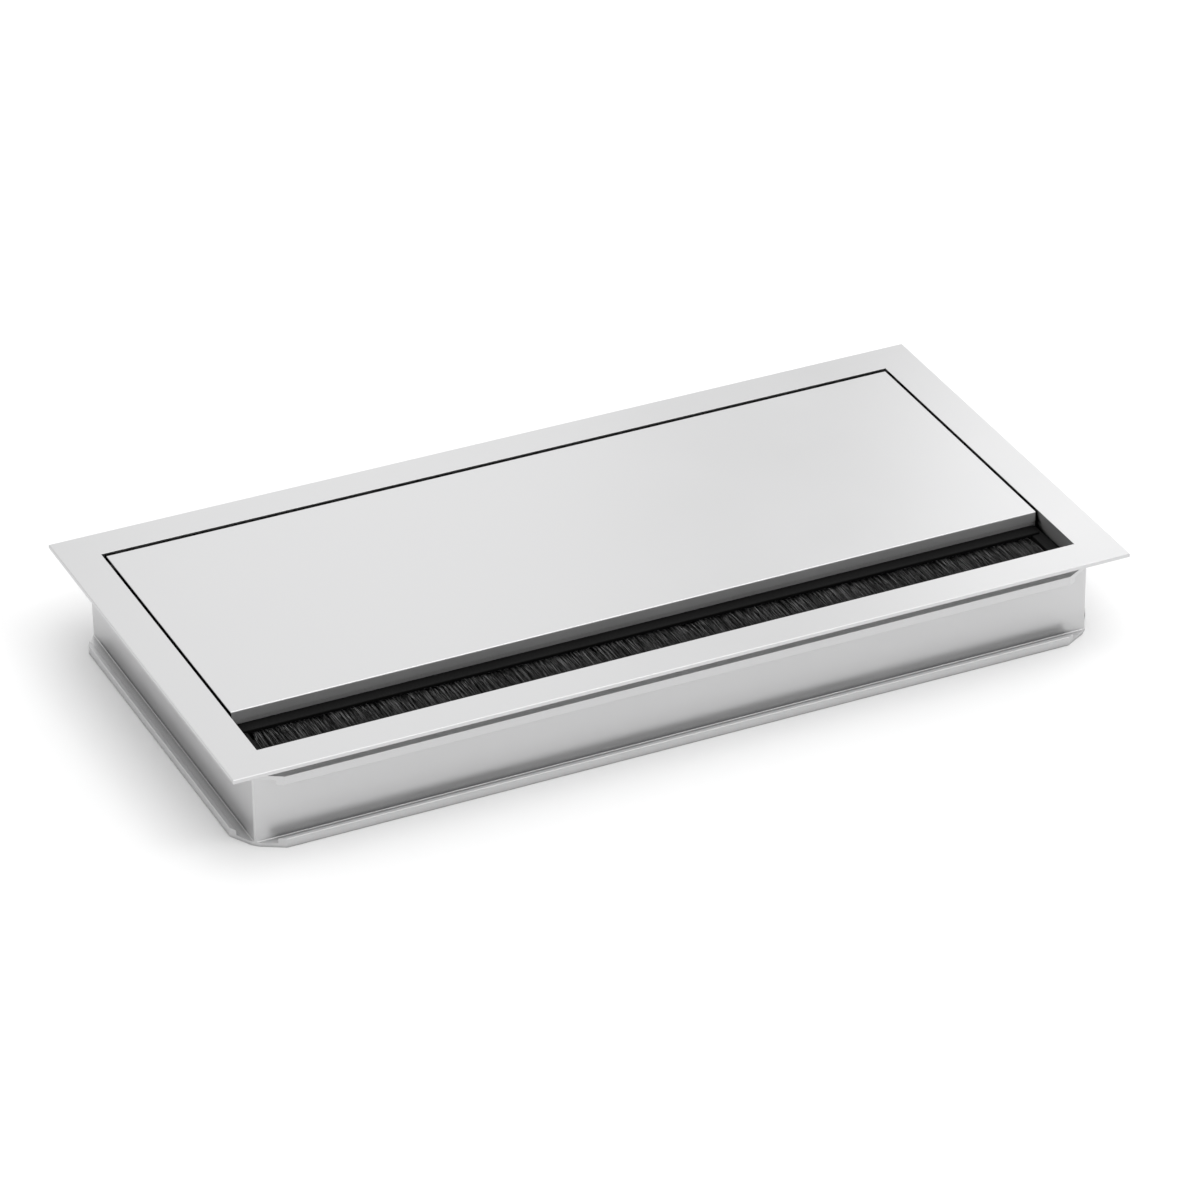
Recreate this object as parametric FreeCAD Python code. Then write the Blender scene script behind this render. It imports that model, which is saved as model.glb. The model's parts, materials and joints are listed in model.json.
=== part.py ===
import FreeCAD, Part
import math
import os

# Flush-mounted desk cable port: a mitred aluminium frame, a lid on hinge pins, and a brush
# under the lid's front edge.
# Millimetres. +X runs along the length, +Y from the brush slot to the hinge, +Z up. The origin is
# the centre of the desk cut-out at the desk's top surface, where the flange's underside rests.

Vector = FreeCAD.Vector

# ---------------------------------------------------------------- driving dimensions
FRAME_LENGTH = 269.0          # over the flange, along X
FRAME_WIDTH = 137.0           # over the flange, along Y
FRAME_HEIGHT = 28.0           # flange top to the underside of the body
FLANGE = 1.2                  # flange thickness at its edge
FLANGE_RELIEF = 0.2           # the flange's underside is this much thinner beside the body
SEAT = 3.6                    # width of the strip that rests on the desk
RIM = 11.4                    # flange's outer edge to the aperture
WALL = 2.8                    # body wall
WEB = 1.2                     # thickness of the outer webs and lips
WEB_REACH = 4.3               # how far the webs stand out of the wall
LIP = 2.8                     # height of each web with its lip
UPPER_WEB_DROP = 5.6          # flange top to the top of the upper web
CORNER_CUT = 7.6              # length of the slanting cut at each end of a web
CORNER_FLAT = 0.45            # leg of the small flat down each outer corner of the body
WEB_CUT_TOP = -2.0            # the slanting cuts stop here, under the flange

EDGE_ROUND = 0.2              # outer edges of the extrusions
ROOT_ROUND = 0.3              # inner corners of the extrusions
APERTURE_ROUND = 0.12         # flange's edge at the aperture
FLANGE_TOP_ROUND = 0.3
FLANGE_UNDER_ROUND = 0.15
LID_FRONT_ROUND = 0.35
LID_BACK_ROUND = 0.4
LID_END_CHAMFER = 0.12

SIDE_GAP = 0.9                # lid to frame at the two ends
BACK_GAP = 1.5                # lid to frame along the hinge side
SLOT = 20.6                   # lid's front edge to the front rail
LID_SKIN = 1.5
LID_LIP = 1.6                 # thickness of the lid's front lip
LID_LIP_DROP = 5.0            # lid top to the end tabs of the front lip
CARRIER_DROP = 4.2            # lid top to the lip's underside, over the brush carrier
RIB_DROP = 3.4                # lid top to the underside of the screw ribs

AXIS_BACK = 3.3               # hinge axis, in front of the lid's back edge
AXIS_DROP = 3.2               # hinge axis, below the lid's top
PIN_RADIUS = 1.0
PIN_PLAY = 0.02               # pin to the rail's hole
BRISTLE_LENGTH = 16.2         # carrier's front face to the tips

FIT = 0.05                    # play between pieces that sit in each other
CUT_SPARE = 1.0               # how far a cutting shape stands out of what it cuts

# ---------------------------------------------------------------- planes worked out from them
TOP = FLANGE
BOTTOM = TOP - FRAME_HEIGHT
HOLE_X = FRAME_LENGTH / 2 - RIM           # half the aperture, along X
HOLE_Y = FRAME_WIDTH / 2 - RIM            # half the aperture, along Y
LID_X = HOLE_X - SIDE_GAP                 # half the lid's length
LID_BACK = HOLE_Y - BACK_GAP
LID_FRONT = -HOLE_Y + SLOT
SKIN_UNDER = TOP - LID_SKIN
RIB_UNDER = TOP - RIB_DROP
LIP_UNDER = TOP - CARRIER_DROP
AXIS_Y = LID_BACK - AXIS_BACK
AXIS_Z = TOP - AXIS_DROP

LEDGE_REACH = 3.6                         # the side rails' inner ledges
LEDGE_TOP = TOP - 5.9
LEDGE_THICKNESS = 1.4
STRIP_THICKNESS = 0.8
LEDGE_BACK_END = 39.5                     # the ledge is milled off behind this, for the hinge block's swing
STRIP_MARGIN = 0.2                        # ledge's two ends to the rest strip's
STRIP_WRAP = 0.35                         # how far the strip stands out of the ledge's edge
STRIP_FROM_EDGE = 0.02
STRIP_TO_WALL = 0.5
STRIP_ROUND = 0.2

CHAMBER_NEAR = 0.9                        # key chamber in the wall, measured out from the aperture
CHAMBER_FAR = 1.9
CHAMBER_TOP = -9.0
CHAMBER_BOTTOM = -23.0
KEY_ARM = 22.0
KEY_BEND = 0.7                            # radius of the key's outer corner
KEY_END_PLAY = 0.2                        # above and below the key
MARK_STEPS = (7.0, 15.0)                  # punch marks, measured along the rail from the aperture's corner
MARK = (3.0, 0.45, 1.2)                   # a punch mark's length, depth and height
KEY_WINDOW = (3.4, 1.6)                   # length and height of the key's window behind a mark

CARRIER_REACH = 3.9                       # carrier's front face, ahead of the lid's front edge
CARRIER_PLAY = 0.1
CARRIER_X = LID_X - 0.8                   # half the carrier's top plate
JAW_X = HOLE_X - LEDGE_REACH - 0.6        # half the jaws, which hang between the ledges
CARRIER_TOP = LIP_UNDER - CARRIER_PLAY
JAW = 1.1
SLOT_HEIGHT = 2.6
SLOT_DEPTH = 5.3
CARRIER_FRONT = LID_FRONT - CARRIER_REACH
CARRIER_BACK_WALL = 2.2                   # behind the slot
CARRIER_ROUND = 0.35
SLOT_TOP = CARRIER_TOP - JAW
SLOT_BOTTOM = SLOT_TOP - SLOT_HEIGHT
SLOT_MIDDLE = (SLOT_TOP + SLOT_BOTTOM) / 2
FLAP_UNDER = LEDGE_TOP + STRIP_THICKNESS + CARRIER_PLAY
BRISTLE_X = JAW_X - 0.9
BRISTLE_TIP = CARRIER_FRONT - BRISTLE_LENGTH
BRISTLE_MOUTH = CARRIER_FRONT + 0.7       # the channel's front edges
BRISTLE_ROOT = CARRIER_FRONT + SLOT_DEPTH - 1.7
BRISTLE_HALF_HEIGHTS = (0.6, 0.8, 1.5)    # at the root, the mouth and the tips
CHANNEL_SHEET = 0.4
CHANNEL_BEND = 0.5
WIRE_RADIUS = 0.5
WIRE_FROM_BACK = 1.1                      # slot's back to the wire's centre

FRONT_RIB = -29.0                         # screw ribs under the lid's skin
BACK_RIB = 44.0
RIB_WIDTH = 4.0
STIFFENERS = (-10.0, 8.0, 26.0)
STIFFENER_WIDTH = 1.2
CARRIER_SCREWS_X = (-100.0, -50.0, 0.0, 50.0, 100.0)
BLOCK_SCREWS_X = (111.5, 118.5)
BLOCK_LENGTH = 14.0
BLOCK_UNDER = TOP - 5.3
BLOCK_AHEAD = 3.6                         # block's front face, ahead of the screws
BACK_LIP = 0.9                            # thickness of the lid's back lip
BACK_LIP_DROP = 3.6
STIFFENER_DEEPER = 0.6                    # how much deeper the stiffeners are than the screw ribs
SCREW_RADIUS = 1.0
SCREW_HEAD = 2.1
SCREW_HEAD_HEIGHT = 1.1
SCREW_DEPTH = TOP - 1.1                   # top of the blind screw holes in the lid
RECESS_RADIUS = 0.85
RECESS_FLOOR = 0.3                        # metal left above the hex recess
THREAD_PLAY = 0.02                        # screw to the lid's hole
SHANK_PLAY = 0.15                         # screw to the hole in the piece it holds

PIN_LENGTH = 11.0                         # from the rail's outer face inwards
PIN_HEAD = 1.7
PIN_HEAD_HEIGHT = 0.9
BUSH_RADIUS = 1.3
BUSH_LENGTH = 8.6
BUSH_FLANGE = 1.75
BUSH_FLANGE_HEIGHT = 0.7


# ---------------------------------------------------------------- shared shapes
def outline(corners):
    """Closed wire in the YZ plane through (y, z) or (y, z, radius) corners; a radius makes an arc."""
    points = [Vector(0, c[0], c[1]) for c in corners]
    radii = [c[2] if len(c) > 2 else 0.0 for c in corners]
    count = len(points)
    starts, ends, arcs = [], [], []
    for i, corner in enumerate(points):
        to_last = (points[i - 1] - corner).normalize()
        to_next = (points[(i + 1) % count] - corner).normalize()
        if radii[i] == 0:
            starts.append(corner)
            ends.append(corner)
            arcs.append(None)
            continue
        half = to_last.getAngle(to_next) / 2
        back_off = radii[i] / math.tan(half)
        middle = (to_last + to_next).normalize()
        nearest = radii[i] / math.sin(half) - radii[i]
        starts.append(corner + to_last * back_off)
        ends.append(corner + to_next * back_off)
        arcs.append(corner + middle * nearest)
    edges = []
    for i in range(count):
        if arcs[i] is not None:
            edges.append(Part.Arc(starts[i], arcs[i], ends[i]).toShape())
        edges.append(Part.LineSegment(ends[i], starts[(i + 1) % count]).toShape())
    return Part.Wire(edges)


def along_x(corners, low, high):
    """Solid with the given YZ outline, from x = low to x = high."""
    face = Part.Face(outline(corners))
    face.translate(Vector(low, 0, 0))
    return face.extrude(Vector(high - low, 0, 0))


def upright(corners, low, high):
    """Solid with a plan of (x, y) corners, from z = low to z = high."""
    loop = [Vector(x, y, low) for x, y in corners]
    return Part.Face(Part.makePolygon(loop + loop[:1])).extrude(Vector(0, 0, high - low))


def block(x, y, z):
    """Box between the two values given for each axis."""
    size = [high - low for low, high in (x, y, z)]
    return Part.makeBox(*size, Vector(x[0], y[0], z[0]))


def rod(radius, start, end):
    """Cylinder from one point to another."""
    run = Vector(*end) - Vector(*start)
    return Part.makeCylinder(radius, run.Length, Vector(*start), run)


def turned(shape, quarter_turns):
    """Copy of a shape turned about the Z axis."""
    copy = shape.copy()
    copy.rotate(Vector(0, 0, 0), Vector(0, 0, 1), 90 * quarter_turns)
    return copy


def mirrored(shape, axis):
    """Copy of a shape mirrored through the origin's plane across an axis."""
    return shape.mirror(Vector(0, 0, 0), Vector(*axis))


# ---------------------------------------------------------------- frame rails
def rail_corners(edge, ledge):
    """Profile of the frame extrusion, facing -Y, its inner face at y = -edge; ledge adds the lid's rest."""
    web_top = TOP - UPPER_WEB_DROP
    web_out = WALL + WEB_REACH
    lip_in = web_out - WEB
    corners = [
        (0, TOP, APERTURE_ROUND),
        (RIM, TOP, FLANGE_TOP_ROUND),
        (RIM, 0, FLANGE_UNDER_ROUND),
        (RIM - SEAT, 0),
        (RIM - SEAT, FLANGE_RELIEF),
        (WALL, FLANGE_RELIEF),
        (WALL, web_top, ROOT_ROUND),
        (web_out, web_top, EDGE_ROUND),
        (web_out, web_top - LIP, EDGE_ROUND),
        (lip_in, web_top - LIP, EDGE_ROUND),
        (lip_in, web_top - WEB, ROOT_ROUND),
        (WALL, web_top - WEB, ROOT_ROUND),
        (WALL, BOTTOM + WEB, ROOT_ROUND),
        (lip_in, BOTTOM + WEB, ROOT_ROUND),
        (lip_in, BOTTOM + LIP, EDGE_ROUND),
        (web_out, BOTTOM + LIP, EDGE_ROUND),
        (web_out, BOTTOM, EDGE_ROUND),
        (0, BOTTOM, EDGE_ROUND),
    ]
    if ledge:
        corners += [
            (0, LEDGE_TOP - LEDGE_THICKNESS, ROOT_ROUND),
            (-LEDGE_REACH, LEDGE_TOP - LEDGE_THICKNESS, EDGE_ROUND),
            (-LEDGE_REACH, LEDGE_TOP, EDGE_ROUND),
            (0, LEDGE_TOP, EDGE_ROUND),
        ]
    return [(-edge - c[0], *c[1:]) for c in corners]


def web_end_cut(edge, hole_half):
    """Prism that slants the webs off at the rail's +X end, from the body's corner outwards."""
    corner = hole_half + WALL
    reach = WEB_REACH + CUT_SPARE
    slant = CORNER_CUT * reach / WEB_REACH
    near = -edge - WALL
    plan = [
        (corner, near),
        (corner - slant, near - reach),
        (corner + RIM, near - reach),
        (corner + RIM, near),
    ]
    return upright(plan, BOTTOM - CUT_SPARE, WEB_CUT_TOP)


def corner_flat(edge, hole_half):
    """Prism that takes the sharp outer corner off the body at the rail's +X end, below the flange."""
    x, y = hole_half + WALL, -edge - WALL
    plan = [
        (x - CORNER_FLAT - CUT_SPARE, y - CUT_SPARE),
        (x + 2 * CUT_SPARE, y - CUT_SPARE),
        (x + 2 * CUT_SPARE, y + CORNER_FLAT + 2 * CUT_SPARE),
    ]
    return upright(plan, BOTTOM - CUT_SPARE, FLANGE_RELIEF)


def crimp_marks(edge, hole_half):
    """Punch marks in the inner skin that lock the corner keys in their chamber."""
    length, depth, height = MARK
    middle = (CHAMBER_TOP + CHAMBER_BOTTOM) / 2
    rows = (-edge - depth, -edge + CUT_SPARE)
    levels = (middle - height / 2, middle + height / 2)
    marks = []
    for side in (-1, 1):
        for step in MARK_STEPS:
            x = side * (hole_half - step)
            marks.append(block((x - length / 2, x + length / 2), rows, levels))
    return marks


def rail(edge, hole_half, ledge=False):
    """One rail facing -Y: its inner face lies at y = -edge and the aperture's half along it is hole_half."""
    end = hole_half + RIM
    body = along_x(rail_corners(edge, ledge), -end, end)
    inner, outer = LEDGE_REACH + 2, RIM + 5
    mitre = [
        (-hole_half + inner, -edge + inner),
        (hole_half - inner, -edge + inner),
        (hole_half + outer, -edge - outer),
        (-hole_half - outer, -edge - outer),
    ]
    body = body.common(upright(mitre, BOTTOM - CUT_SPARE, TOP + CUT_SPARE))
    chamber = block(
        (-end - CUT_SPARE, end + CUT_SPARE),
        (-edge - CHAMBER_FAR, -edge - CHAMBER_NEAR),
        (CHAMBER_BOTTOM, CHAMBER_TOP),
    )
    right_cuts = [web_end_cut(edge, hole_half), corner_flat(edge, hole_half)]
    left_cuts = [mirrored(cut, (1, 0, 0)) for cut in right_cuts]
    return body.cut([chamber] + right_cuts + left_cuts + crimp_marks(edge, hole_half))


def side_rail():
    """The right-hand rail: its ledge carries the lid, and a hole near the back takes the hinge pin."""
    body = turned(rail(HOLE_X, HOLE_Y, ledge=True), 1)
    clearance = block(
        (HOLE_X - LEDGE_REACH - CUT_SPARE, HOLE_X),
        (LEDGE_BACK_END, HOLE_Y),
        (LEDGE_TOP - LEDGE_THICKNESS - CUT_SPARE, LEDGE_TOP + CUT_SPARE),
    )
    pin_hole = rod(
        PIN_RADIUS + PIN_PLAY,
        (HOLE_X - CUT_SPARE, AXIS_Y, AXIS_Z),
        (HOLE_X + WALL + CUT_SPARE, AXIS_Y, AXIS_Z),
    )
    return body.cut([clearance, pin_hole])


def corner_key():
    """Steel angle in the chamber of the front and right-hand rails, with a window at each punch mark."""
    near, far = CHAMBER_NEAR + FIT, CHAMBER_FAR - FIT
    plan = [
        (HOLE_X + near, -HOLE_Y - near),
        (HOLE_X + near - KEY_ARM, -HOLE_Y - near),
        (HOLE_X + near - KEY_ARM, -HOLE_Y - far),
        (HOLE_X + far, -HOLE_Y - far),
        (HOLE_X + far, -HOLE_Y - near + KEY_ARM),
        (HOLE_X + near, -HOLE_Y - near + KEY_ARM),
    ]
    key = upright(plan, CHAMBER_BOTTOM + KEY_END_PLAY, CHAMBER_TOP - KEY_END_PLAY)
    outer_edge = [
        e for e in key.Edges
        if all(abs(v.X - HOLE_X - far) < 1e-6 and abs(v.Y + HOLE_Y + far) < 1e-6 for v in e.Vertexes)
    ]
    key = key.makeFillet(KEY_BEND, outer_edge)
    half_length, half_height = KEY_WINDOW[0] / 2, KEY_WINDOW[1] / 2
    middle = (CHAMBER_TOP + CHAMBER_BOTTOM) / 2
    levels = (middle - half_height, middle + half_height)
    for step in MARK_STEPS:
        x, y = HOLE_X - step, -HOLE_Y + step
        front_rows = (-HOLE_Y - far - CUT_SPARE, -HOLE_Y)
        side_columns = (HOLE_X, HOLE_X + far + CUT_SPARE)
        key = key.cut(block((x - half_length, x + half_length), front_rows, levels))
        key = key.cut(block(side_columns, (y - half_length, y + half_length), levels))
    return key


def rest_strip():
    """Soft strip that the lid lies on, wrapped over the ledge's edge; drawn as a front ledge, then turned."""
    edge, outer = -HOLE_X + LEDGE_REACH, -HOLE_X + STRIP_TO_WALL
    strip_top = LEDGE_TOP + STRIP_THICKNESS
    ledge_under = LEDGE_TOP - LEDGE_THICKNESS
    profile = [
        (outer, LEDGE_TOP),
        (outer, strip_top, STRIP_ROUND),
        (edge + STRIP_WRAP, strip_top, STRIP_ROUND),
        (edge + STRIP_WRAP, ledge_under),
        (edge + STRIP_FROM_EDGE, ledge_under),
        (edge + STRIP_FROM_EDGE, LEDGE_TOP),
    ]
    front_end = -HOLE_Y + LEDGE_REACH + STRIP_MARGIN
    return turned(along_x(profile, front_end, LEDGE_BACK_END - STRIP_MARGIN), 1)


# ---------------------------------------------------------------- hinge
def hinge_pin():
    """Headed pin pressed in through the right-hand rail from outside."""
    outer = HOLE_X + WALL
    head_face = outer + PIN_HEAD_HEIGHT
    shank = rod(PIN_RADIUS, (outer - PIN_LENGTH, AXIS_Y, AXIS_Z), (head_face, AXIS_Y, AXIS_Z))
    head = rod(PIN_HEAD, (outer, AXIS_Y, AXIS_Z), (head_face, AXIS_Y, AXIS_Z))
    pin = shank.fuse(head).removeSplitter()
    rims = [e for e in pin.Edges if e.Closed and any(abs(v.X - head_face) < 1e-6 for v in e.Vertexes)]
    return pin.makeFillet(ROOT_ROUND, rims)


def hinge_bush():
    """Flanged bush in the lid's block; its flange spaces the lid from the rail."""
    inner, outer = LID_X - BUSH_LENGTH, LID_X + BUSH_FLANGE_HEIGHT
    sleeve = rod(BUSH_RADIUS, (inner, AXIS_Y, AXIS_Z), (LID_X, AXIS_Y, AXIS_Z))
    flange = rod(BUSH_FLANGE, (LID_X, AXIS_Y, AXIS_Z), (outer, AXIS_Y, AXIS_Z))
    bore_ends = (inner - CUT_SPARE, AXIS_Y, AXIS_Z), (outer + CUT_SPARE, AXIS_Y, AXIS_Z)
    bore = rod(PIN_RADIUS + FIT, *bore_ends)
    return sleeve.fuse(flange).cut(bore).removeSplitter()


def screw(x, y, seat):
    """Countersunk screw that points up, its head flush with z = seat; the recess is a hexagon."""
    head_top = seat + SCREW_HEAD_HEIGHT
    shank = rod(SCREW_RADIUS, (x, y, seat + 0.2), (x, y, SCREW_DEPTH - 0.2))
    head = Part.makeCone(SCREW_HEAD, SCREW_RADIUS, SCREW_HEAD_HEIGHT, Vector(x, y, seat), Vector(0, 0, 1))
    angles = [math.radians(60 * corner) for corner in range(6)]
    hexagon = [(x + RECESS_RADIUS * math.cos(a), y + RECESS_RADIUS * math.sin(a)) for a in angles]
    recess = upright(hexagon, seat - CUT_SPARE, head_top - RECESS_FLOOR)
    return shank.fuse(head).cut(recess).removeSplitter()


def screws(places, y, seat):
    """A row of those screws along X."""
    return Part.makeCompound([screw(x, y, seat) for x in places])


def screw_hole(x, y, seat):
    """Room for that screw in the piece it holds."""
    through = rod(SCREW_RADIUS + SHANK_PLAY, (x, y, seat - CUT_SPARE), (x, y, TOP))
    sink = Part.makeCone(
        SCREW_HEAD + SHANK_PLAY,
        SCREW_RADIUS + SHANK_PLAY,
        SCREW_HEAD_HEIGHT,
        Vector(x, y, seat),
        Vector(0, 0, 1),
    )
    return through.fuse(sink)


def hinge_block():
    """Moulded block under the lid's right-hand back corner that holds the bush."""
    front = BACK_RIB - BLOCK_AHEAD
    step = BACK_RIB + RIB_WIDTH / 2 + 2 * FIT
    rear = LID_BACK - BACK_LIP - FIT
    body = along_x(
        [
            (front, RIB_UNDER - FIT),
            (step, RIB_UNDER - FIT),
            (step, SKIN_UNDER - FIT),
            (rear, SKIN_UNDER - FIT),
            (rear, BLOCK_UNDER, 1.2),
            (front, BLOCK_UNDER, 0.6),
        ],
        LID_X - BLOCK_LENGTH,
        LID_X,
    )
    bore = rod(
        BUSH_RADIUS + THREAD_PLAY,
        (LID_X - BUSH_LENGTH - 8 * FIT, AXIS_Y, AXIS_Z),
        (LID_X + CUT_SPARE, AXIS_Y, AXIS_Z),
    )
    return body.cut([bore] + [screw_hole(x, BACK_RIB, BLOCK_UNDER) for x in BLOCK_SCREWS_X])


# ---------------------------------------------------------------- lid
def rib(centre, width, under):
    """Four corners of a rib under the lid's skin, from back to front."""
    back, front = centre + width / 2, centre - width / 2
    places = [(back, SKIN_UNDER), (back, under), (front, under), (front, SKIN_UNDER)]
    return [(*place, EDGE_ROUND) for place in places]


def lid_panel():
    """Extruded lid: a thin skin with a front lip, a back lip, two screw ribs and three stiffeners."""
    tab_under = TOP - LID_LIP_DROP
    back_under = TOP - BACK_LIP_DROP
    corners = [
        (LID_FRONT, TOP, LID_FRONT_ROUND),
        (LID_BACK, TOP, LID_BACK_ROUND),
        (LID_BACK, back_under, EDGE_ROUND),
        (LID_BACK - BACK_LIP, back_under),
        (LID_BACK - BACK_LIP, SKIN_UNDER),
    ]
    corners += rib(BACK_RIB, RIB_WIDTH, RIB_UNDER)
    for centre in reversed(STIFFENERS):
        corners += rib(centre, STIFFENER_WIDTH, RIB_UNDER - STIFFENER_DEEPER)
    corners += rib(FRONT_RIB, RIB_WIDTH, RIB_UNDER)
    corners += [
        (LID_FRONT + LID_LIP, SKIN_UNDER, ROOT_ROUND),
        (LID_FRONT + LID_LIP, tab_under),
        (LID_FRONT, tab_under, EDGE_ROUND),
    ]
    panel = along_x(corners, -LID_X, LID_X)
    end_edges = [
        e for e in panel.Edges
        if all(abs(v.Z - TOP) < 1e-6 and abs(abs(v.X) - LID_X) < 1e-6 for v in e.Vertexes)
    ]
    panel = panel.makeChamfer(LID_END_CHAMFER, end_edges)
    carrier_room = block(
        (-CARRIER_X - CARRIER_PLAY, CARRIER_X + CARRIER_PLAY),
        (LID_FRONT - CUT_SPARE, LID_FRONT + LID_LIP + CUT_SPARE),
        (tab_under - CUT_SPARE, LIP_UNDER),
    )
    places = [(x, FRONT_RIB) for x in CARRIER_SCREWS_X]
    places += [(side * x, BACK_RIB) for x in BLOCK_SCREWS_X for side in (-1, 1)]
    hole_radius = SCREW_RADIUS + THREAD_PLAY
    holes = [rod(hole_radius, (x, y, RIB_UNDER - CUT_SPARE), (x, y, SCREW_DEPTH)) for x, y in places]
    return panel.cut([carrier_room] + holes)


# ---------------------------------------------------------------- brush
def brush_carrier():
    """Black profile under the lid's front lip: a flap for the screws, and jaws that hold the brush strip."""
    behind_lip = LID_FRONT + LID_LIP + 3 * CARRIER_PLAY
    flap_end = FRONT_RIB + RIB_WIDTH / 2 + 2 * CARRIER_PLAY
    slot_back = CARRIER_FRONT + SLOT_DEPTH
    jaw_back = slot_back + CARRIER_BACK_WALL
    jaw_under = SLOT_BOTTOM - JAW
    body = along_x(
        [
            (CARRIER_FRONT, CARRIER_TOP, CARRIER_ROUND),
            (behind_lip, CARRIER_TOP),
            (behind_lip, RIB_UNDER - FIT),
            (flap_end, RIB_UNDER - FIT),
            (flap_end, FLAP_UNDER, CARRIER_ROUND),
            (jaw_back, FLAP_UNDER),
            (jaw_back, jaw_under, CARRIER_ROUND),
            (CARRIER_FRONT, jaw_under, CARRIER_ROUND),
            (CARRIER_FRONT, SLOT_BOTTOM, EDGE_ROUND),
            (slot_back, SLOT_BOTTOM),
            (slot_back, SLOT_TOP),
            (CARRIER_FRONT, SLOT_TOP, EDGE_ROUND),
        ],
        -CARRIER_X,
        CARRIER_X,
    )
    over_ledge = block(
        (JAW_X, CARRIER_X + CUT_SPARE),
        (CARRIER_FRONT - CUT_SPARE, jaw_back + CUT_SPARE),
        (jaw_under - CUT_SPARE, FLAP_UNDER),
    )
    cuts = [over_ledge, mirrored(over_ledge, (1, 0, 0))]
    return body.cut(cuts + [screw_hole(x, FRONT_RIB, FLAP_UNDER) for x in CARRIER_SCREWS_X])


def brush_channel():
    """Folded steel channel of the brush strip, open to the front."""
    front, back = BRISTLE_MOUTH, CARRIER_FRONT + SLOT_DEPTH - FIT
    top, bottom = SLOT_TOP - FIT, SLOT_BOTTOM + FIT
    return along_x(
        [
            (front, top),
            (back, top, CHANNEL_BEND),
            (back, bottom, CHANNEL_BEND),
            (front, bottom),
            (front, bottom + CHANNEL_SHEET),
            (back - CHANNEL_SHEET, bottom + CHANNEL_SHEET),
            (back - CHANNEL_SHEET, top - CHANNEL_SHEET),
            (front, top - CHANNEL_SHEET),
        ],
        -BRISTLE_X,
        BRISTLE_X,
    )


def core_wire():
    """Wire that the bristles fold round, at the bottom of the channel."""
    centre = (CARRIER_FRONT + SLOT_DEPTH - WIRE_FROM_BACK, SLOT_MIDDLE)
    return rod(WIRE_RADIUS, (-BRISTLE_X, *centre), (BRISTLE_X, *centre))


def bristles():
    """The bristles' outer shape: a tongue that widens from the channel to just short of the front rail."""
    at_root, at_mouth, at_tips = BRISTLE_HALF_HEIGHTS
    return along_x(
        [
            (BRISTLE_ROOT, SLOT_MIDDLE + at_root),
            (BRISTLE_MOUTH, SLOT_MIDDLE + at_mouth),
            (BRISTLE_TIP, SLOT_MIDDLE + at_tips, CARRIER_ROUND),
            (BRISTLE_TIP, SLOT_MIDDLE - at_tips, CARRIER_ROUND),
            (BRISTLE_MOUTH, SLOT_MIDDLE - at_mouth),
            (BRISTLE_ROOT, SLOT_MIDDLE - at_root),
        ],
        -BRISTLE_X,
        BRISTLE_X,
    )


def brush_plug():
    """Plug that closes the right-hand end of the carrier's jaws, and stops the strip sliding out."""
    return block(
        (BRISTLE_X + 2 * FIT, JAW_X),
        (CARRIER_FRONT + 3 * FIT, CARRIER_FRONT + SLOT_DEPTH - FIT),
        (SLOT_BOTTOM + FIT, SLOT_TOP - FIT),
    )


# ---------------------------------------------------------------- assembly
def build():
    """Every node by name; left-hand pieces are mirrored from the right-hand ones."""
    across, ahead = (1, 0, 0), (0, 1, 0)
    long_rail = rail(HOLE_Y, HOLE_X)
    key = corner_key()
    nodes = {
        "frame_front_rail": long_rail,
        "frame_back_rail": turned(long_rail, 2),
        "frame_right_rail": side_rail(),
        "corner_key_front_right": key,
        "corner_key_front_left": mirrored(key, across),
        "corner_key_back_right": mirrored(key, ahead),
        "corner_key_back_left": mirrored(mirrored(key, ahead), across),
        "rest_strip_right": rest_strip(),
        "hinge_pin_right": hinge_pin(),
        "hinge_bush_right": hinge_bush(),
        "hinge_block_right": hinge_block(),
        "brush_plug_right": brush_plug(),
        "lid_panel": lid_panel(),
        "brush_carrier": brush_carrier(),
        "brush_channel": brush_channel(),
        "brush_core_wire": core_wire(),
        "bristles": bristles(),
        "brush_carrier_screws": screws(CARRIER_SCREWS_X, FRONT_RIB, FLAP_UNDER),
        "hinge_block_screws_right": screws(BLOCK_SCREWS_X, BACK_RIB, BLOCK_UNDER),
    }
    for name in [n for n in nodes if "_right" in n and not n.startswith("corner_key")]:
        nodes[name.replace("_right", "_left")] = mirrored(nodes[name], across)
    return nodes


def main():
    """Write one STEP file for each node."""
    os.makedirs("parts", exist_ok=True)
    for name, shape in build().items():
        if not shape.isValid():
            print("not valid:", name)
        print(f"{name:28s} solids {len(shape.Solids)}  volume {shape.Volume:9.1f} mm3")
        shape.exportStep(f"parts/{name}.step")


main()
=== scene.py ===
import json
import math
import random

import bpy
from mathutils import Matrix, Vector


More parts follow.
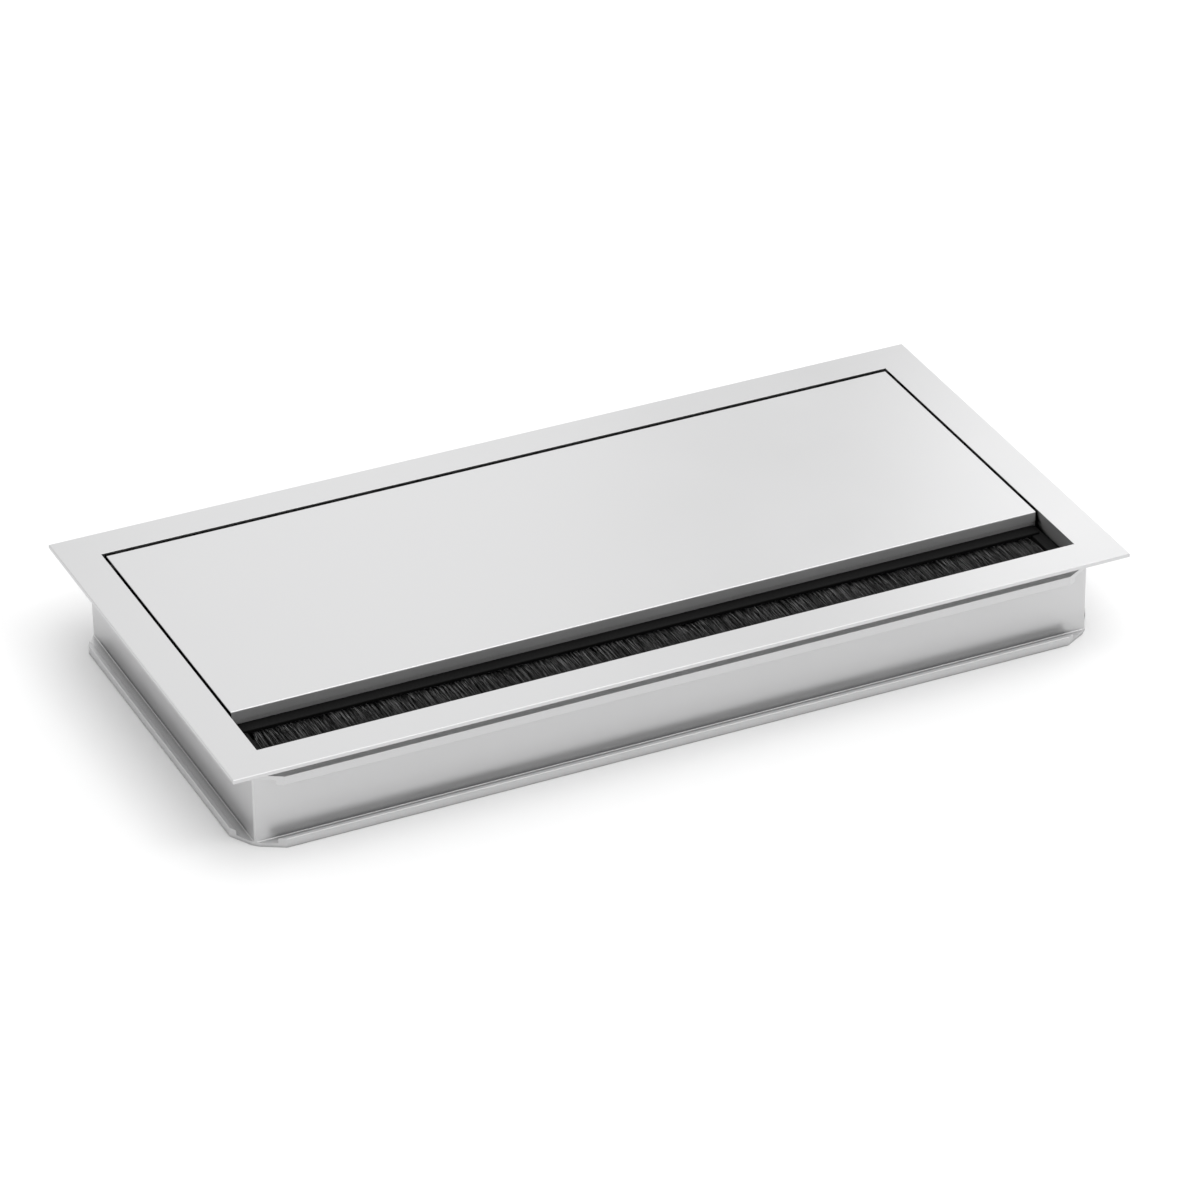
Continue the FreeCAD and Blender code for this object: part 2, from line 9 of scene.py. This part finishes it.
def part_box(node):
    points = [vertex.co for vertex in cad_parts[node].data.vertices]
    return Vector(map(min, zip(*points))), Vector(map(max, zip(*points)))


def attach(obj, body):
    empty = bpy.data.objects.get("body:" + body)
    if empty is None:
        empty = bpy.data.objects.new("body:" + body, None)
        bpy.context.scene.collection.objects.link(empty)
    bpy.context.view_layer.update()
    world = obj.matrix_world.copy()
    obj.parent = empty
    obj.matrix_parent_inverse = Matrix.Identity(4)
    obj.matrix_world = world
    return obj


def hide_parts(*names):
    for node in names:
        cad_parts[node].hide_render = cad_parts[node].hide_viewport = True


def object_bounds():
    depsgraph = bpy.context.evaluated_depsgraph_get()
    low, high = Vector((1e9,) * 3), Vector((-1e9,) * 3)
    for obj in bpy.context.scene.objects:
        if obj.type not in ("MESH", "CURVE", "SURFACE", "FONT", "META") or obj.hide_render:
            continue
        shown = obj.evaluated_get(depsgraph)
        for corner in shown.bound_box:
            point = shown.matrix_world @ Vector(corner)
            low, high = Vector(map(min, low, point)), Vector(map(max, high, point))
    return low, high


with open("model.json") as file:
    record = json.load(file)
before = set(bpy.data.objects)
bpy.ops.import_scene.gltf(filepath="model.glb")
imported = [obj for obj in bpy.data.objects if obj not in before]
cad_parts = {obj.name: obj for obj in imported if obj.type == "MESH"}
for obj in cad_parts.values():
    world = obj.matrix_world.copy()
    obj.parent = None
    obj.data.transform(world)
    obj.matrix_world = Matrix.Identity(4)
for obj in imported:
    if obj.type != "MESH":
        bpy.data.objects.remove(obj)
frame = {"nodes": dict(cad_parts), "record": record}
cad_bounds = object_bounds()

MM = 0.001

# Camera: above and in front of the left side. Azimuth 0 looks along +Y, angles are in degrees,
# and the lens and the sensor are in millimetres.
CAMERA_AZIMUTH = -24.77
CAMERA_ELEVATION = 30.74
CAMERA_ROLL = 0.66
CAMERA_AIM = Vector((-8.0, -25.2, 0.2)) * MM
CAMERA_DISTANCE = 1668.8 * MM
CAMERA_LENS = 181.84
CAMERA_SENSOR = 36.0

# Studio: the sky's strength at the left and at the right, and the floor's half width in metres.
SKY_LEFT = 0.82
SKY_RIGHT = 1.12
FLOOR_HALF_WIDTH = 6.0

# Crevices: painted shade; how near another surface stands before the one beside it darkens, and to
# what tone.
CREVICE_REACH = 3.5 * MM
PLASTIC_CREVICE_REACH = 5.0 * MM
CREVICE_SHADE_TONE = 0.003
CREVICE_SAMPLES = 8

# Rim: above this height the gaps round the lid get painted shade from their edge. The change
# fades in below it.
RIM_SHADE_BOTTOM = -1.8 * MM
RIM_SHADE_FADE = 0.8 * MM

# Brush strands: number, thickness and mesh. Each is a tube of rings, which stand closer together
# near the root. Its thickness varies by the radius shares, and its turns are in radians.
STRAND_SEED = 20
STRAND_COUNT = 6200
STRAND_RADIUS = 0.1 * MM
RADIUS_SHARES = (0.8, 1.15)
STRAND_RINGS = 6
RING_CROWDING = 1.5
STRAND_SIDES = 3
STRAND_TURNS = (0.0, 6.28)
TIP_TAPER = 0.45
TAPER_POWER = 3

# Brush strands: where they stand. The tips' range is in millimetres.
ROOT_END_MARGIN = 0.3 * MM
ROOT_DEPTH_MARGIN = 0.45 * MM
TIP_RAGGED = (0.0, 1.8)

# Brush strands: how they lie. The lean and the bow are in millimetres.
CLUMP_SPACING = 0.95 * MM
SPACING_SHARES = (0.5, 1.7)
CLUMP_PULLS = (0.55, 0.95)
CLUMP_END = 0.85
RISE_SHARES = (0.2, 0.9)
RISE_RATE = 9.0
STRAND_LEAN = 0.5
LEAN_POWER = 2
STRAND_BOWS = (-0.15, 0.3)
END_SPLAY = 3.0 * MM
END_LEAN = 0.45
SPLAY_POWER = 4

# Brush strands: painted shade along them, darker near the carrier and towards the tips.
# Brush strands: how much of their colour is left, as pairs of a share of the fade's length from
# the carrier's front and a share of the colour, and how far that front shifts between strands.
STRAND_SHADE_FADE = ((0.0, 0.25), (0.32, 1.0), (0.58, 0.75), (1.0, 0.25))
SHADE_FADE_LENGTH = 9.0 * MM
SHADE_FADE_RAGGED = 1.1 * MM


# ---------------------------------------------------------------- shader nodes

def new_material(name, **values):
    """A material, its node tree and its Principled shader, with the given values on its sockets."""
    material = bpy.data.materials.new(name)
    material.use_nodes = True
    tree = material.node_tree
    surface = tree.nodes["Principled BSDF"]
    for socket, value in values.items():
        surface.inputs[socket.replace("_", " ")].default_value = value
    return material, tree, surface


def coordinate(tree, kind, axis):
    """One axis of a texture coordinate of the given kind, Object or Generated."""
    place = tree.nodes.new("ShaderNodeTexCoord")
    axes = tree.nodes.new("ShaderNodeSeparateXYZ")
    tree.links.new(place.outputs[kind], axes.inputs["Vector"])
    return axes.outputs[axis]


def noise(tree, scale, detail=3.0, stretch=(1.0, 1.0, 1.0)):
    """Noise over the object's own coordinates; scale counts features per metre."""
    place = tree.nodes.new("ShaderNodeTexCoord")
    mapping = tree.nodes.new("ShaderNodeMapping")
    mapping.inputs["Scale"].default_value = stretch
    texture = tree.nodes.new("ShaderNodeTexNoise")
    texture.inputs["Scale"].default_value = scale
    texture.inputs["Detail"].default_value = detail
    tree.links.new(place.outputs["Object"], mapping.inputs["Vector"])
    tree.links.new(mapping.outputs["Vector"], texture.inputs["Vector"])
    return texture.outputs["Fac"]


def map_range(tree, value, start, end, low=0.0, high=1.0):
    """A Map Range node that takes a value from the range start to end to the range low to high."""
    ranged = tree.nodes.new("ShaderNodeMapRange")
    ranged.inputs["From Min"].default_value = start
    ranged.inputs["From Max"].default_value = end
    ranged.inputs["To Min"].default_value = low
    ranged.inputs["To Max"].default_value = high
    tree.links.new(value, ranged.inputs["Value"])
    return ranged


def spread(tree, pattern, low, high, start=0.3, end=0.7):
    """A noise pattern whose values from start to end are spread over low to high."""
    return map_range(tree, pattern, start, end, low, high).outputs["Result"]


def scaled(tone, shares):
    """A colour whose channels are shares of one tone."""
    return [tone * share for share in shares]


def tint(tree, surface, pattern, dark, light, start=0.3, end=0.7):
    """Base colour that varies between two colours with a pattern."""
    mix = tree.nodes.new("ShaderNodeMix")
    mix.data_type = "RGBA"
    mix.inputs["A"].default_value = (*dark, 1.0)
    mix.inputs["B"].default_value = (*light, 1.0)
    tree.links.new(spread(tree, pattern, 0.0, 1.0, start, end), mix.inputs["Factor"])
    tree.links.new(mix.outputs["Result"], surface.inputs["Base Color"])


def gloss(tree, surface, pattern, low, high):
    """Roughness that varies between two values with a pattern."""
    tree.links.new(spread(tree, pattern, low, high), surface.inputs["Roughness"])


def relief(tree, surface, *layers):
    """Bump from one or more (pattern, height) layers."""
    normal = None
    for pattern, height in layers:
        bump = tree.nodes.new("ShaderNodeBump")
        bump.inputs["Strength"].default_value = 1.0
        bump.inputs["Distance"].default_value = height
        tree.links.new(pattern, bump.inputs["Height"])
        if normal:
            tree.links.new(normal, bump.inputs["Normal"])
        normal = bump.outputs["Normal"]
    tree.links.new(normal, surface.inputs["Normal"])


def shade_crevices(tree, surface, reach, closed, opened, rim_shade_closed=None):
    """Painted shade: base colour darkens where other surfaces stand closer than reach.

    closed and opened are the shares of open surroundings where the shade is full and where it
    ends. Near the top, rim_shade_closed stands in for closed.
    """
    joined = surface.inputs["Base Color"].links[0].from_socket
    openness = tree.nodes.new("ShaderNodeAmbientOcclusion")
    openness.samples = CREVICE_SAMPLES
    openness.inputs["Distance"].default_value = reach
    depth = map_range(tree, openness.outputs["AO"], closed, opened)
    if rim_shade_closed:
        height = coordinate(tree, "Object", "Z")
        rim = map_range(tree, height, RIM_SHADE_BOTTOM - RIM_SHADE_FADE, RIM_SHADE_BOTTOM, closed, rim_shade_closed)
        tree.links.new(rim.outputs["Result"], depth.inputs["From Min"])
    shaded = tree.nodes.new("ShaderNodeMix")
    shaded.data_type = "RGBA"
    shaded.inputs["A"].default_value = (CREVICE_SHADE_TONE, CREVICE_SHADE_TONE, CREVICE_SHADE_TONE, 1.0)
    tree.links.new(depth.outputs["Result"], shaded.inputs["Factor"])
    tree.links.new(joined, shaded.inputs["B"])
    tree.links.new(shaded.outputs["Result"], surface.inputs["Base Color"])


def paint_strand_shade(tree, surface):
    """Painted shade: strands are darker near the carrier and the tips, at places that differ
    between them.
    """
    joined = surface.inputs["Base Color"].links[0].from_socket
    jaw_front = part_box("brush_carrier")[0].y
    ragged = noise(tree, scale=700.0, detail=2.0, stretch=(1.0, 0.02, 1.0))
    shifted = tree.nodes.new("ShaderNodeMath")
    shifted.operation = "ADD"
    tree.links.new(coordinate(tree, "Object", "Y"), shifted.inputs[0])
    tree.links.new(spread(tree, ragged, -SHADE_FADE_RAGGED, SHADE_FADE_RAGGED), shifted.inputs[1])
    run = map_range(tree, shifted.outputs["Value"], jaw_front, jaw_front - SHADE_FADE_LENGTH)
    shade = tree.nodes.new("ShaderNodeValToRGB")
    ramp = shade.color_ramp
    for position, _ in STRAND_SHADE_FADE[1:-1]:
        ramp.elements.new(position)
    for element, (_, tone) in zip(ramp.elements, STRAND_SHADE_FADE):
        element.color = (tone, tone, tone, 1.0)
    tree.links.new(run.outputs["Result"], shade.inputs["Fac"])
    shaded = tree.nodes.new("ShaderNodeMix")
    shaded.data_type = "RGBA"
    shaded.blend_type = "MULTIPLY"
    shaded.inputs["Factor"].default_value = 1.0
    tree.links.new(joined, shaded.inputs["A"])
    tree.links.new(shade.outputs["Color"], shaded.inputs["B"])
    tree.links.new(shaded.outputs["Result"], surface.inputs["Base Color"])


# ---------------------------------------------------------------- materials

def satin_aluminium(name, tone, roughness):
    """Bead-blasted and anodised: a fine grain, a slow drift in tone and gloss, and painted shade in
    crevices, stronger near the top where the gaps round the lid are.
    """
    material, tree, surface = new_material(name, Metallic=0.8)
    drift = noise(tree, scale=26.0, detail=2.0)
    grain = noise(tree, scale=3200.0, detail=2.0)
    dark = scaled(tone, (0.985, 0.985, 0.99))
    light = scaled(tone, (1.0, 1.0, 1.006))
    tint(tree, surface, drift, dark, light)
    gloss(tree, surface, drift, low=roughness - 0.02, high=roughness + 0.03)
    # Painted shade: crevices darken, and near the top the gaps round the lid darken from their
    # edge.
    shade_crevices(tree, surface, CREVICE_REACH, closed=0.32, opened=0.62, rim_shade_closed=0.56)
    relief(tree, surface, (grain, 0.0022 * MM))
    return material


def moulded_plastic(name, tone, roughness):
    """Black plastic with a fine spark-eroded texture, and painted shade in crevices."""
    material, tree, surface = new_material(name, IOR=1.49, Specular_IOR_Level=0.04)
    drift = noise(tree, scale=60.0)
    grain = noise(tree, scale=2600.0, detail=2.0)
    tint(tree, surface, grain, [tone * 0.75] * 3, [tone * 1.25] * 3)
    # Painted shade: the carrier darkens under the lid's lip and in other crevices.
    shade_crevices(tree, surface, PLASTIC_CREVICE_REACH, closed=0.5, opened=1.0)
    gloss(tree, surface, drift, low=roughness - 0.04, high=roughness + 0.05)
    relief(tree, surface, (grain, 0.006 * MM))
    return material


def rest_rubber():
    """Soft matt rubber strip with faint lines along its length."""
    material, tree, surface = new_material("matt_rubber", IOR=1.45, Specular_IOR_Level=0.1)
    lines = noise(tree, scale=900.0, stretch=(1.0, 0.03, 1.0))
    specks = noise(tree, scale=4000.0, detail=2.0)
    tint(tree, surface, specks, [0.005] * 3, [0.009] * 3)
    gloss(tree, surface, lines, low=0.62, high=0.78)
    relief(tree, surface, (lines, 0.006 * MM), (specks, 0.004 * MM))
    return material


def bristle_nylon():
    """Black nylon strands: lighter strands are a painted highlight over a real change in tone from
    strand to strand, painted shade near the carrier and the tips, and gloss along each.
    """
    material, tree, surface = new_material("strand_nylon", IOR=1.53, Specular_IOR_Level=0.4)
    strands = noise(tree, scale=3400.0, detail=1.0, stretch=(1.0, 0.02, 1.0))
    along = noise(tree, scale=1400.0, detail=2.0, stretch=(1.0, 0.25, 1.0))
    # Lighter strands stand in for lit ones: a painted highlight over a real change in tone between
    # strands.
    tint(tree, surface, strands, [0.002] * 3, [0.19] * 3, start=0.46, end=0.64)
    # Painted shade along the strands, near the carrier and towards the tips.
    paint_strand_shade(tree, surface)
    gloss(tree, surface, along, low=0.26, high=0.46)
    relief(tree, surface, (along, 0.004 * MM))
    return material


def plated_steel(name, tone, roughness, stretch):
    """Steel with a fine drawn texture, stretched along each axis by the given scales."""
    material, tree, surface = new_material(name, Metallic=1.0)
    drawn = noise(tree, scale=2200.0, stretch=stretch)
    cloud = noise(tree, scale=160.0)
    dark = scaled(tone, (0.9, 0.92, 0.95))
    light = scaled(tone, (1.0, 1.0, 0.99))
    tint(tree, surface, cloud, dark, light)
    gloss(tree, surface, drawn, low=roughness - 0.05, high=roughness + 0.08)
    relief(tree, surface, (drawn, 0.003 * MM))
    return material


def acetal_bush():
    """Off-white low-friction plastic."""
    material, tree, surface = new_material(
        "moulded_acetal", IOR=1.48, Subsurface_Weight=0.1, Subsurface_Radius=(MM, MM, MM))
    cloud = noise(tree, scale=500.0)
    turned = noise(tree, scale=5000.0, detail=2.0, stretch=(0.1, 1.0, 1.0))
    tint(tree, surface, cloud, (0.66, 0.65, 0.61), (0.74, 0.73, 0.7))
    gloss(tree, surface, turned, low=0.34, high=0.48)
    relief(tree, surface, (turned, 0.003 * MM))
    return material


def black_oxide():
    """Screws: blackened steel with a faint mottle."""
    material, tree, surface = new_material("blackened_steel", Metallic=0.85)
    mottle = noise(tree, scale=1800.0)
    tint(tree, surface, mottle, (0.018, 0.018, 0.02), (0.045, 0.044, 0.046))
    gloss(tree, surface, mottle, low=0.32, high=0.5)
    relief(tree, surface, (mottle, 0.004 * MM))
    return material


def paint_cad_nodes():
    """Each carried-over CAD node takes the material of its slot."""
    materials = {
        "frame_aluminium": satin_aluminium("satin_frame", tone=0.60, roughness=0.40),
        "lid_aluminium": satin_aluminium("satin_lid", tone=0.61, roughness=0.41),
        "black_plastic": moulded_plastic("moulded_black", tone=0.0105, roughness=0.6),
        "rest_rubber": rest_rubber(),
        "bristle_nylon": bristle_nylon(),
        "zinc_steel": plated_steel(
            "drawn_zinc", tone=0.62, roughness=0.36, stretch=(0.05, 1.0, 1.0)),
        "pin_steel": plated_steel(
            "ground_steel", tone=0.72, roughness=0.22, stretch=(0.03, 1.0, 1.0)),
        "bush_plastic": acetal_bush(),
        "black_screw": black_oxide(),
    }
    for part in frame["record"]["subparts"]:
        for place in frame["nodes"][part["node"]].material_slots:
            place.material = materials[part["material_slot"]]
    return materials


# ---------------------------------------------------------------- brush

def strand_path(rng, root, clump, start, jaw_front, tip, middle, outward):
    """Points down one strand: parallel in the jaws, clumped past them and loose at the tip.

    root is its place along and across the strip, and clump is the x of the clump it joins.
    start, jaw_front and tip are its places along y. middle is the strip's mid height, and
    outward is how far its tip leans past the strip's end.
    """
    x0, z0 = root
    height = (z0 - middle) * rng.uniform(*RISE_SHARES)
    lean = rng.gauss(0.0, STRAND_LEAN) * MM
    bow = rng.uniform(*STRAND_BOWS) * MM
    pull = rng.uniform(*CLUMP_PULLS)
    points = []
    for ring in range(STRAND_RINGS):
        t = (ring / (STRAND_RINGS - 1)) ** RING_CROWDING
        y = start - (start - tip) * t
        past = max(0.0, (jaw_front - y) / (jaw_front - tip))
        pinch = pull * math.sin(math.pi * min(1.0, past / CLUMP_END))
        fan = outward * (1.0 - (1.0 - past) ** SPLAY_POWER)
        x = x0 + (clump - x0) * pinch + lean * past ** LEAN_POWER + fan
        rise = height * math.sin(min(1.0, past * RISE_RATE) * math.pi / 2)
        z = z0 + rise + bow * math.sin(math.pi * past)
        points.append(Vector((x, y, z)))
    return points


def add_strand(vertices, faces, points, radius, turn):
    """A closed tapering tube along the points."""
    first = len(vertices)
    for ring, point in enumerate(points):
        taper = 1.0 - TIP_TAPER * (ring / (len(points) - 1)) ** TAPER_POWER
        for side in range(STRAND_SIDES):
            angle = turn + 2.0 * math.pi * side / STRAND_SIDES
            outward = Vector((math.cos(angle), 0.0, math.sin(angle)))
            vertices.append(point + radius * taper * outward)
    for ring in range(len(points) - 1):
        near = first + ring * STRAND_SIDES
        far = near + STRAND_SIDES
        for side in range(STRAND_SIDES):
            after = (side + 1) % STRAND_SIDES
            faces.append((near + side, near + after, far + after, far + side))
    last = first + (len(points) - 1) * STRAND_SIDES
    faces.append(tuple(range(first + STRAND_SIDES - 1, first - 1, -1)))
    faces.append(tuple(range(last, last + STRAND_SIDES)))


def bristle_strands(material):
    """The brush strip's strands, as one mesh that rides on the lid with its carrier."""
    rng = random.Random(STRAND_SEED)
    low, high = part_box("bristles")
    jaw_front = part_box("brush_carrier")[0].y
    middle = (low.z + high.z) / 2
    half_depth = (high.z - low.z) / 2 - ROOT_DEPTH_MARGIN
    left, right = low.x + ROOT_END_MARGIN, high.x - ROOT_END_MARGIN

    clumps = [left]
    while clumps[-1] < right:
        clumps.append(clumps[-1] + CLUMP_SPACING * rng.uniform(*SPACING_SHARES))
    clumps[-1] = right

    vertices, faces = [], []
    for _ in range(STRAND_COUNT):
        x0 = rng.uniform(left, right)
        z0 = middle + rng.uniform(-half_depth, half_depth)
        clump = min(clumps, key=lambda x: abs(x - x0))
        tip = low.y + rng.uniform(*TIP_RAGGED) * MM
        splay = max(0.0, abs(x0) - high.x + END_SPLAY) * math.copysign(END_LEAN, x0)
        points = strand_path(rng, (x0, z0), clump, high.y, jaw_front, tip, middle, splay)
        radius = STRAND_RADIUS * rng.uniform(*RADIUS_SHARES)
        add_strand(vertices, faces, points, radius, rng.uniform(*STRAND_TURNS))

    mesh = bpy.data.meshes.new("brush_strands")
    mesh.from_pydata(vertices, [], faces)
    mesh.shade_smooth()
    mesh.materials.append(material)
    strands = bpy.data.objects.new("brush_strands", mesh)
    bpy.context.scene.collection.objects.link(strands)
    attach(strands, "lid")
    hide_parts("bristles")


# ---------------------------------------------------------------- studio

def pale_floor():
    """A plain pale studio floor, level with the underside of the frame."""
    material, tree, surface = new_material("floor", Specular_IOR_Level=0.0)
    cloud = noise(tree, scale=3.0, detail=2.0)
    tint(tree, surface, cloud, [0.87] * 3, [0.89] * 3)
    gloss(tree, surface, cloud, low=0.6, high=0.7)
    height = cad_bounds[0][2]
    half = FLOOR_HALF_WIDTH
    outline = ((-half, -half), (half, -half), (half, half), (-half, half))
    corners = [(x, y, height) for x, y in outline]
    mesh = bpy.data.meshes.new("floor")
    mesh.from_pydata(corners, [], [(0, 1, 2, 3)])
    mesh.materials.append(material)
    floor = bpy.data.objects.new("floor", mesh)
    bpy.context.scene.collection.objects.link(floor)


def sky():
    """White light from all around, weaker from the left than from the right."""
    world = bpy.data.worlds.new("studio")
    world.use_nodes = True
    tree = world.node_tree
    background = tree.nodes["Background"]
    background.inputs["Color"].default_value = (1.0, 1.0, 1.0, 1.0)
    across = map_range(tree, coordinate(tree, "Generated", "X"), -1.0, 1.0, SKY_LEFT, SKY_RIGHT)
    tree.links.new(across.outputs["Result"], background.inputs["Strength"])
    bpy.context.scene.world = world


def softbox(name, place, aim, width, power):
    """A square area light that faces a point and doesn't show; sizes in metres, power in watts."""
    data = bpy.data.lights.new(name, "AREA")
    data.shape = "SQUARE"
    data.size = width
    data.energy = power
    light = bpy.data.objects.new(name, data)
    light.location = place
    light.rotation_euler = (Vector(aim) - Vector(place)).to_track_quat("-Z", "Y").to_euler()
    light.visible_camera = False
    bpy.context.scene.collection.objects.link(light)


def camera():
    """The camera looks at the aim point, from a distance, with a slight roll."""
    azimuth = math.radians(-CAMERA_AZIMUTH)
    elevation = math.radians(CAMERA_ELEVATION)
    forward = Vector((
        math.sin(azimuth) * math.cos(elevation),
        math.cos(azimuth) * math.cos(elevation),
        -math.sin(elevation),
    ))
    level = Vector((math.cos(azimuth), -math.sin(azimuth), 0.0))
    right = Matrix.Rotation(math.radians(CAMERA_ROLL), 3, forward) @ level
    up = right.cross(forward)
    turn = Matrix((right, up, -forward)).transposed()
    data = bpy.data.cameras.new("camera")
    data.lens = CAMERA_LENS
    data.sensor_width = CAMERA_SENSOR
    view = bpy.data.objects.new("camera", data)
    view.matrix_world = Matrix.Translation(CAMERA_AIM - forward * CAMERA_DISTANCE) @ turn.to_4x4()
    bpy.context.scene.collection.objects.link(view)
    bpy.context.scene.camera = view


# ---------------------------------------------------------------- scene

camera()
sky()
softbox("overhead", place=(0.1, -0.2, 2.0), aim=(0.0, 0.0, 0.0), width=1.6, power=11.0)
softbox("key", place=(0.6, -0.85, 1.3), aim=(0.0, 0.0, 0.0), width=0.45, power=3.2)
softbox("glow", place=(0.27, 0.125, 0.15), aim=(0.16, -0.11, 0.0), width=0.16, power=0.055)
softbox("fill", place=(0.046, 0.293, 0.18), aim=(-0.08, 0.02, 0.0), width=0.2, power=0.035)
pale_floor()
materials = paint_cad_nodes()
bristle_strands(materials["bristle_nylon"])
bpy.context.scene.view_settings.view_transform = "Standard"
